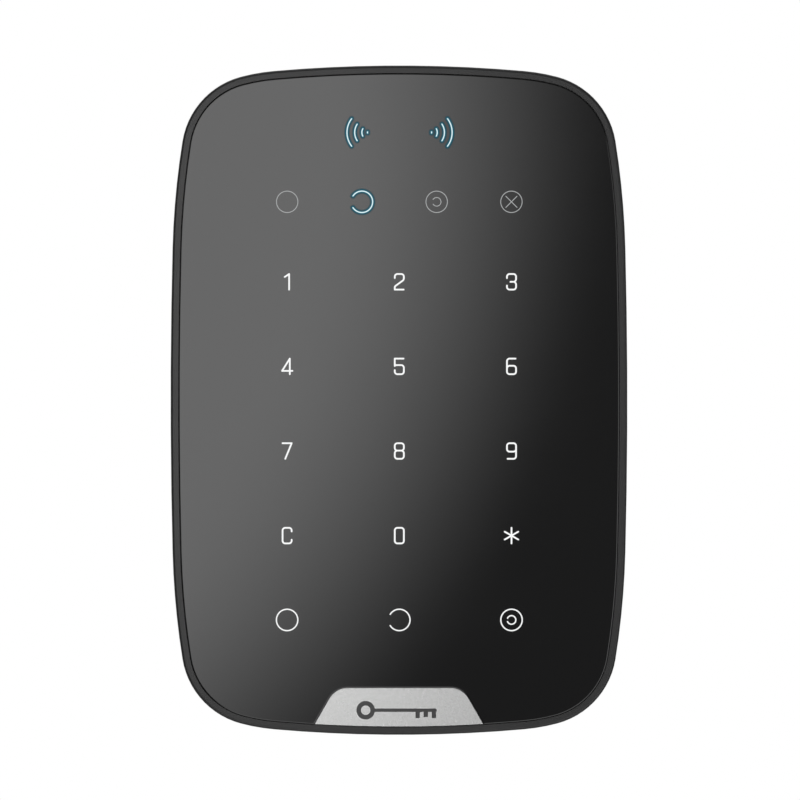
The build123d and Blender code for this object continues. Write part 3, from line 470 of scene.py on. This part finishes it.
def cell_sleeve(name, inside):
    """A cell's printed sleeve with a band at its positive end, and bare metal at both ends."""
    low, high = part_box(name)
    positive_up = NUB_UP[name]
    top, foot = (high[2], low[2]) if positive_up else (low[2], high[2])
    way = 1.0 if positive_up else -1.0
    axis_x, axis_y = (low[0] + high[0]) / 2, (low[1] + high[1]) / 2
    material, tree, shader = new_material("sleeve_" + name, IOR=1.5)
    place = add(tree, "ShaderNodeTexCoord").outputs["Object"]
    xyz = add(tree, "ShaderNodeSeparateXYZ", {"Vector": place})
    up = maths(tree, "MULTIPLY", maths(tree, "SUBTRACT", xyz.outputs["Z"], foot), way)
    across = maths(tree, "SUBTRACT", xyz.outputs["X"], axis_x)
    deep = maths(tree, "SUBTRACT", xyz.outputs["Y"], axis_y)
    radius = maths(
        tree, "SQRT", maths(tree, "ADD", maths(tree, "POWER", across, 2.0), maths(tree, "POWER", deep, 2.0))
    )
    length = abs(top - foot)
    past_shoulder = maths(tree, "GREATER_THAN", up, length - SHOULDER_DEPTH)
    bare_top = maths(tree, "MULTIPLY", past_shoulder, maths(tree, "LESS_THAN", radius, BARE_TOP_R))
    at_foot = maths(tree, "LESS_THAN", up, 0.6 * MM)
    bare_foot = maths(tree, "MULTIPLY", at_foot, maths(tree, "LESS_THAN", radius, BARE_FOOT_R))
    bare = maths(tree, "MAXIMUM", bare_top, bare_foot)
    band = remap(tree, up, length * 0.74, length * 0.745)
    print_grain = use(tree, "grain", Size=0.08 * MM)["Mask"]
    sleeve = blend(tree, band, rgba(inside.cell_body), rgba(inside.cell_band))
    stripe_start = remap(tree, up, length * 0.72, length * 0.722)
    stripe_end = remap(tree, up, length * 0.738, length * 0.736)
    stripe = maths(tree, "MULTIPLY", stripe_start, stripe_end)
    sleeve = blend(tree, stripe, sleeve, (0.6, 0.6, 0.58, 1.0))
    toned = blend(tree, maths(tree, "MULTIPLY", print_grain, 0.2), sleeve, (0.2, 0.2, 0.2, 1.0))
    steel = blend(tree, print_grain, rgba(inside.steel, 0.85), rgba(inside.steel))
    tree.links.new(blend(tree, bare, toned, steel), shader["Base Color"])
    tree.links.new(bare, shader["Metallic"])
    tree.links.new(maths(tree, "MULTIPLY_ADD", print_grain, 0.1, 0.22), shader["Roughness"])
    return material


def is_nub_up(name):
    """Whether a cell's narrow positive end points up, from its own mesh."""
    points = np.array([v.co for v in NODES[name].data.vertices])
    middle = (points.min(0) + points.max(0)) / 2
    reach = np.hypot(points[:, 0] - middle[0], points[:, 1] - middle[1])
    top = reach[points[:, 2] > points[:, 2].max() - 0.5 * MM].max()
    foot = reach[points[:, 2] < points[:, 2].min() + 0.5 * MM].max()
    return bool(top < foot)


CELLS = [name for name in sorted(NODES) if name.startswith("cell_")]
NUB_UP = {name: is_nub_up(name) for name in CELLS}


# ---- halos -----------------------------------------------------------------------------------
HALO_LIFT = 0.02 * MM  # how far a halo's sheet stands off the legends


def front_outline(name):
    """Segments round the front faces of a node's mesh, as an array of pairs of X and Z."""
    mesh = NODES[name].data
    front = min(v.co.y for v in mesh.vertices)
    edges = {}
    for face in mesh.polygons:
        if all(abs(mesh.vertices[i].co.y - front) < 1e-6 for i in face.vertices):
            corners = [tuple(round(c, 7) for c in mesh.vertices[i].co) for i in face.vertices]
            for a, b in zip(corners, corners[1:] + corners[:1]):
                key = frozenset((a, b))
                edges[key] = None if key in edges else (a, b)
    kept = [pair for pair in edges.values() if pair]
    return np.array([[(a[0], a[2]), (b[0], b[2])] for a, b in kept]), front


def signed_distance(points, segments):
    """Distance from each point to the nearest segment, negative inside the outline."""
    nearest = np.full(len(points), 1e9)
    crossings = np.zeros(len(points), int)
    for (ax, az), (bx, bz) in segments:
        run = np.array([bx - ax, bz - az])
        rel = points - (ax, az)
        t = np.clip(rel @ run / max(run @ run, 1e-18), 0.0, 1.0)
        nearest = np.minimum(nearest, np.hypot(*(rel - t[:, None] * run).T))
        if az != bz:
            straddles = (az > points[:, 1]) != (bz > points[:, 1])
            at = ax + (points[:, 1] - az) * (bx - ax) / (bz - az)
            crossings += straddles & (points[:, 0] < at)
    return np.where(crossings % 2 == 1, -nearest, nearest)


def halo_sheet(name, segments, front, face, material):
    """A sheet just clear of the panel, over everything within a halo's width of the outline."""
    reach, pitch = face.halo_width, face.halo_grid
    low, high = segments.min((0, 1)) - reach, segments.max((0, 1)) + reach
    counts = np.ceil((high - low) / pitch).astype(int) + 1
    xs = low[0] + pitch * np.arange(counts[0])
    zs = low[1] + pitch * np.arange(counts[1])
    grid = np.stack(np.meshgrid(xs, zs, indexing="ij"), -1).reshape(-1, 2)
    away = signed_distance(grid, segments)
    index = np.arange(len(grid)).reshape(counts)
    quads = np.stack([index[:-1, :-1], index[1:, :-1], index[1:, 1:], index[:-1, 1:]], -1).reshape(-1, 4)
    keep = (away[quads].min(1) < reach) & (away[quads].max(1) > -HALO_LIFT)
    quads = quads[keep]
    used, places = np.unique(quads, return_inverse=True)
    height = front - HALO_LIFT
    mesh = bpy.data.meshes.new(name)
    mesh.from_pydata([(x, height, z) for x, z in grid[used]], [], places.reshape(-1, 4).tolist())
    attribute = mesh.attributes.new("away_mm", "FLOAT", "POINT")
    attribute.data.foreach_set("value", away[used] / MM)
    mesh.materials.append(material)
    sheet = bpy.data.objects.new(name, mesh)
    bpy.context.scene.collection.objects.link(sheet)
    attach(sheet, "keypad")
    return sheet


def wound_wire(name, low, high, wire, turns, sides=10, steps_a_turn=32):
    """A helix of round wire that fills a box, along Y."""
    middle = Vector(((low[0] + high[0]) / 2, 0.0, (low[2] + high[2]) / 2))
    radius = (high[0] - low[0]) / 2 - wire
    foot, rise = low[1] + wire, high[1] - low[1] - 2 * wire
    steps = turns * steps_a_turn
    points = []
    for i in range(steps + 1):
        turn = math.tau * i / steps_a_turn
        out = Vector((math.cos(turn), 0.0, math.sin(turn)))
        along = Vector((-math.sin(turn), rise / (math.tau * radius * turns), math.cos(turn))).normalized()
        centre = middle + radius * out + Vector((0.0, foot + rise * i / steps, 0.0))
        for k in range(sides):
            angle = math.tau * k / sides
            points.append(centre + wire * (math.cos(angle) * out + math.sin(angle) * out.cross(along)))
    faces = []
    for i in range(steps):
        for k in range(sides):
            a, b = i * sides + k, i * sides + (k + 1) % sides
            faces.append((a, a + sides, b + sides, b))
    faces.append(tuple(range(sides)))
    faces.append(tuple(range(steps * sides, (steps + 1) * sides))[::-1])
    mesh = bpy.data.meshes.new(name)
    mesh.from_pydata(points, [], faces)
    mesh.polygons.foreach_set("use_smooth", [True] * len(faces))
    spring = bpy.data.objects.new(name, mesh)
    bpy.context.scene.collection.objects.link(spring)
    return spring


# ---- operators -------------------------------------------------------------------------------
class KEYPAD_OT_housings(bpy.types.Operator):
    """Moulded finish of the housings, battery cover and wall bracket"""

    bl_idname = "keypad.housings"
    bl_label = "Housings"

    def execute(self, context):
        housing = context.scene.keypad_housing
        texture = (housing.grain, housing.wear_width, MOULDING_DUST)
        shell = moulded_plastic("housing_plastic", housing.colour, housing.roughness, *texture)
        finish_nodes(shell, "front_housing", "rear_housing", "battery_cover")
        rougher = housing.roughness + 0.08
        bracket = moulded_plastic("bracket_plastic", housing.bracket_colour, rougher, *texture)
        finish_nodes(bracket, "mounting_bracket")
        return {"FINISHED"}


class KEYPAD_OT_touch_face(bpy.types.Operator):
    """Smoked touch panel, its legends and the light round the lit ones"""

    bl_idname = "keypad.touch_face"
    bl_label = "Touch face"

    def execute(self, context):
        face = context.scene.keypad_face
        finish_nodes(smoked_acrylic(face), "touch_lens")
        finish_nodes(glowing_legend("white_legend", face.legend), "key_legends", "function_legends")
        # Painted glow: the unlit status marks emit their grey instead of reflecting light
        finish_nodes(glowing_legend("unlit_mark_painted_glow", face.unlit_mark_painted_glow), "status_legends")
        finish_nodes(glowing_legend("lit_legend", face.lit_core), "lit_legends")
        segments, front = front_outline("lit_legends")
        band = (segments[:, 0, 1].min() + segments[:, 0, 1].max()) / 2
        ring_top = segments[segments[:, 0, 1] < band][:, 0, 1].max()
        light = halo_light(face)
        halo_sheet("ring_halo", segments[segments[:, 0, 1] <= ring_top], front, face, light)
        halo_sheet("ripples_halo", segments[segments[:, 0, 1] > ring_top], front, face, light)
        return {"FINISHED"}


class KEYPAD_OT_badge(bpy.types.Operator):
    """Silver badge plate and its painted symbol"""

    bl_idname = "keypad.badge"
    bl_label = "Badge"

    def execute(self, context):
        badge = context.scene.keypad_badge
        finish_nodes(blasted_silver(badge), "badge_plate")
        finish_nodes(painted("symbol_paint", badge.ink, 0.16), "badge_symbol")
        return {"FINISHED"}


class KEYPAD_OT_electronics(bpy.types.Operator):
    """Board, coil, chips, radio, buzzer, switches and light films"""

    bl_idname = "keypad.electronics"
    bl_label = "Electronics"

    def execute(self, context):
        inside = context.scene.keypad_inside
        finish_nodes(solder_mask(inside), "main_board")
        finish_nodes(drawn_metal("copper_foil", inside.copper, 0.28), "touch_electrodes", "reader_antenna")
        finish_nodes(drawn_metal("tinned_can", inside.steel, 0.3), "radio_module", "radio_antennas")
        finish_nodes(drawn_metal("buzzer_brass", (0.7, 0.52, 0.22), 0.3), "buzzer_disc")
        finish_nodes(painted("chip_epoxy", (0.018, 0.018, 0.019), 0.55), "controller_chip", "reader_chip")
        finish_nodes(painted("ferrite", (0.05, 0.046, 0.043), 0.6), "ferrite_sheet")
        finish_nodes(painted("buzzer_shell", (0.02, 0.02, 0.02), 0.4), "buzzer_case")
        finish_nodes(painted("switch_shell", (0.05, 0.05, 0.052), 0.4), "tamper_switch", "power_switch")
        stem = painted("switch_stem", (0.5, 0.07, 0.05), 0.4)
        finish_nodes(stem, "tamper_switch_stem", "power_switch_stem")
        finish_nodes(painted("light_mask", (0.008, 0.008, 0.008), 0.5), "light_mask", "lens_adhesive")
        finish_nodes(painted("milky_film", (0.8, 0.8, 0.78), 0.5), "diffuser_film")
        finish_nodes(painted("led_resin", (0.85, 0.78, 0.42), 0.25), "key_leds", "indicator_leds")
        return {"FINISHED"}


class KEYPAD_OT_battery_bay(bpy.types.Operator):
    """Tray, cells, contacts and springs"""

    bl_idname = "keypad.battery_bay"
    bl_label = "Battery bay"

    def execute(self, context):
        inside = context.scene.keypad_inside
        finish_nodes(painted("tray_plastic", (0.03, 0.03, 0.031), 0.5, 0.25 * MM), "battery_tray")
        finish_nodes(drawn_metal("contact_nickel", inside.steel, 0.26), "battery_contacts")
        finish_nodes(drawn_metal("spring_wire", inside.steel, 0.22, EVEN), "battery_springs")
        for name in CELLS:
            finish_nodes(cell_sleeve(name, inside), name)
        return {"FINISHED"}


class KEYPAD_OT_tamper_coil(bpy.types.Operator):
    """Wound return spring between the tamper plunger and its switch"""

    bl_idname = "keypad.tamper_coil"
    bl_label = "Tamper spring"

    def execute(self, context):
        inside = context.scene.keypad_inside
        low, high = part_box("tamper_spring")
        spring = wound_wire("tamper_coil", low, high, inside.tamper_wire / 2, inside.tamper_turns)
        spring.data.materials.append(drawn_metal("tamper_wire", inside.steel, 0.22, EVEN))
        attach(spring, "keypad")
        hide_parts("tamper_spring")
        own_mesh(spring)
        return {"FINISHED"}


class KEYPAD_OT_hardware(bpy.types.Operator):
    """Case screws, power button and tamper plunger"""

    bl_idname = "keypad.hardware"
    bl_label = "Hardware"

    def execute(self, context):
        inside = context.scene.keypad_inside
        finish_nodes(drawn_metal("black_zinc", (0.1, 0.1, 0.105), 0.35), "case_screws")
        finish_nodes(painted("button_rubber", inside.rubber, 0.62, 0.2 * MM), "power_button")
        finish_nodes(painted("plunger_acetal", (0.62, 0.62, 0.6), 0.42), "tamper_plunger")
        return {"FINISHED"}


FLOOR_SPAN = (-1.6, 1.6, -1.2, 1.4)  # left, right, front and back of the floor
FILL_DIRECTION = (0.55, 0.0, -0.83)  # right and down, where the fill light stands


class KEYPAD_OT_stage(bpy.types.Operator):
    """Camera, floor, soft key light and room light"""

    bl_idname = "keypad.stage"
    bl_label = "Stage"

    def execute(self, context):
        stage = context.scene.keypad_stage
        context.scene.view_settings.view_transform = "Standard"
        self.camera(context.scene, stage)
        self.floor(stage)
        self.softbox(stage)
        self.room(context.scene, stage)
        return {"FINISHED"}

    def camera(self, scene, stage):
        data = bpy.data.cameras.new("camera")
        data.sensor_width = 36.0
        data.lens = data.sensor_width * stage.camera_distance / stage.frame_width
        data.clip_end = 20.0
        camera = bpy.data.objects.new("camera", data)
        middle = (CAD_BOX[0][2] + CAD_BOX[1][2]) / 2
        camera.location = (stage.aim_x, -(WALL_TO_FACE + stage.camera_distance), middle + stage.aim_z)
        camera.rotation_euler = (math.radians(90), 0.0, 0.0)
        scene.collection.objects.link(camera)
        scene.camera = camera

    def floor(self, stage):
        z = CAD_BOX[0][2] - stage.floor_drop
        left, right, front, back = FLOOR_SPAN
        corners = [(left, front, z), (right, front, z), (right, back, z), (left, back, z)]
        floor = plain_sheet("floor", corners)
        material, tree, shader = new_material("floor_paint", Roughness=0.9)
        cloud = use(tree, "handling", Size=500 * MM, Seed=FLOOR_CLOUD)["Mask"]
        paint = blend(tree, cloud, rgba(stage.floor_colour), rgba(stage.floor_colour, 0.985))
        tree.links.new(paint, shader["Base Color"])
        floor.data.materials.append(material)

    def softbox(self, stage):
        """A glowing card whose light fades out in a wide ring, seen only in reflections."""
        y = -(WALL_TO_FACE + stage.softbox_distance)
        half = stage.softbox_size / 2
        left, right = stage.softbox_x - half, stage.softbox_x + half
        low, high = stage.softbox_z - half, stage.softbox_z + half
        card = plain_sheet("softbox", [(left, y, low), (left, y, high), (right, y, high), (right, y, low)])
        card.visible_camera = False
        material = bpy.data.materials.new("softbox_glow")
        material.use_nodes = True
        tree = material.node_tree
        tree.nodes.clear()
        place = add(tree, "ShaderNodeTexCoord").outputs["Object"]
        middle = (stage.softbox_x, y, stage.softbox_z)
        reach = add(tree, "ShaderNodeVectorMath", {0: place, 1: middle}, operation="DISTANCE")
        fade = (stage.softbox_inner, stage.softbox_outer, stage.softbox_glow, stage.softbox_edge)
        glow = remap(tree, reach.outputs["Value"], *fade)
        light = add(tree, "ShaderNodeEmission", {"Strength": glow})
        output = tree.nodes.new("ShaderNodeOutputMaterial")
        tree.links.new(light.outputs[0], output.inputs[0])
        card.data.materials.append(material)

    def room(self, scene, stage):
        """White where the camera sees it; darker to the sides for everything that it lights."""
        world = bpy.data.worlds.new("room")
        world.use_nodes = True
        tree = world.node_tree
        tree.nodes.clear()
        direction = add(tree, "ShaderNodeTexCoord").outputs["Generated"]
        parts = add(tree, "ShaderNodeSeparateXYZ", {"Vector": direction})
        ahead = parts.outputs["Y"]
        behind = remap(tree, ahead, 0.1, 0.85, stage.room_side, stage.room_back)
        above = remap(tree, parts.outputs["Z"], 0.7, 0.95, 0.0, stage.room_top)
        aside = {0: direction, 1: FILL_DIRECTION}
        low_right = add(tree, "ShaderNodeVectorMath", aside, operation="DOT_PRODUCT").outputs["Value"]
        band = maths(tree, "MULTIPLY", remap(tree, ahead, -0.6, -0.72), remap(tree, ahead, -0.96, -0.88))
        fill = maths(tree, "MULTIPLY", remap(tree, low_right, 0.1, 0.4), band)
        level = maths(tree, "MULTIPLY_ADD", fill, stage.room_fill, maths(tree, "ADD", behind, above))
        seen = add(tree, "ShaderNodeLightPath").outputs["Is Camera Ray"]
        strength = maths(tree, "MAXIMUM", seen, level)
        sky = add(tree, "ShaderNodeBackground", {"Color": (1.0, 1.0, 1.0, 1.0), "Strength": strength})
        output = tree.nodes.new("ShaderNodeOutputWorld")
        tree.links.new(sky.outputs[0], output.inputs[0])
        scene.world = world


def plain_sheet(name, corners):
    """One face that isn't part of the object."""
    mesh = bpy.data.meshes.new(name)
    mesh.from_pydata(corners, [], [(0, 1, 2, 3)])
    sheet = bpy.data.objects.new(name, mesh)
    bpy.context.scene.collection.objects.link(sheet)
    return sheet


OPERATORS = (
    KEYPAD_OT_stage,
    KEYPAD_OT_housings,
    KEYPAD_OT_touch_face,
    KEYPAD_OT_badge,
    KEYPAD_OT_electronics,
    KEYPAD_OT_battery_bay,
    KEYPAD_OT_tamper_coil,
    KEYPAD_OT_hardware,
)


class KEYPAD_PT_panel(bpy.types.Panel):
    """Buttons for each group of pieces, in the order that they are made"""

    bl_idname = "KEYPAD_PT_panel"
    bl_label = "Card reader keypad"
    bl_space_type = "VIEW_3D"
    bl_region_type = "UI"
    bl_category = "Keypad"

    def draw(self, context):
        for operator in OPERATORS:
            self.layout.operator(operator.bl_idname)


def register():
    for name, group in SETTINGS.items():
        bpy.utils.register_class(group)
        setattr(bpy.types.Scene, name, bpy.props.PointerProperty(type=group))
    for thing in (*OPERATORS, KEYPAD_PT_panel):
        bpy.utils.register_class(thing)


def unregister():
    for thing in reversed((*OPERATORS, KEYPAD_PT_panel)):
        bpy.utils.unregister_class(thing)
    for name, group in SETTINGS.items():
        delattr(bpy.types.Scene, name)
        bpy.utils.unregister_class(group)


def main():
    register()
    for operator in OPERATORS:
        group, name = operator.bl_idname.split(".")
        getattr(getattr(bpy.ops, group), name)()


if __name__ == "__main__":
    main()
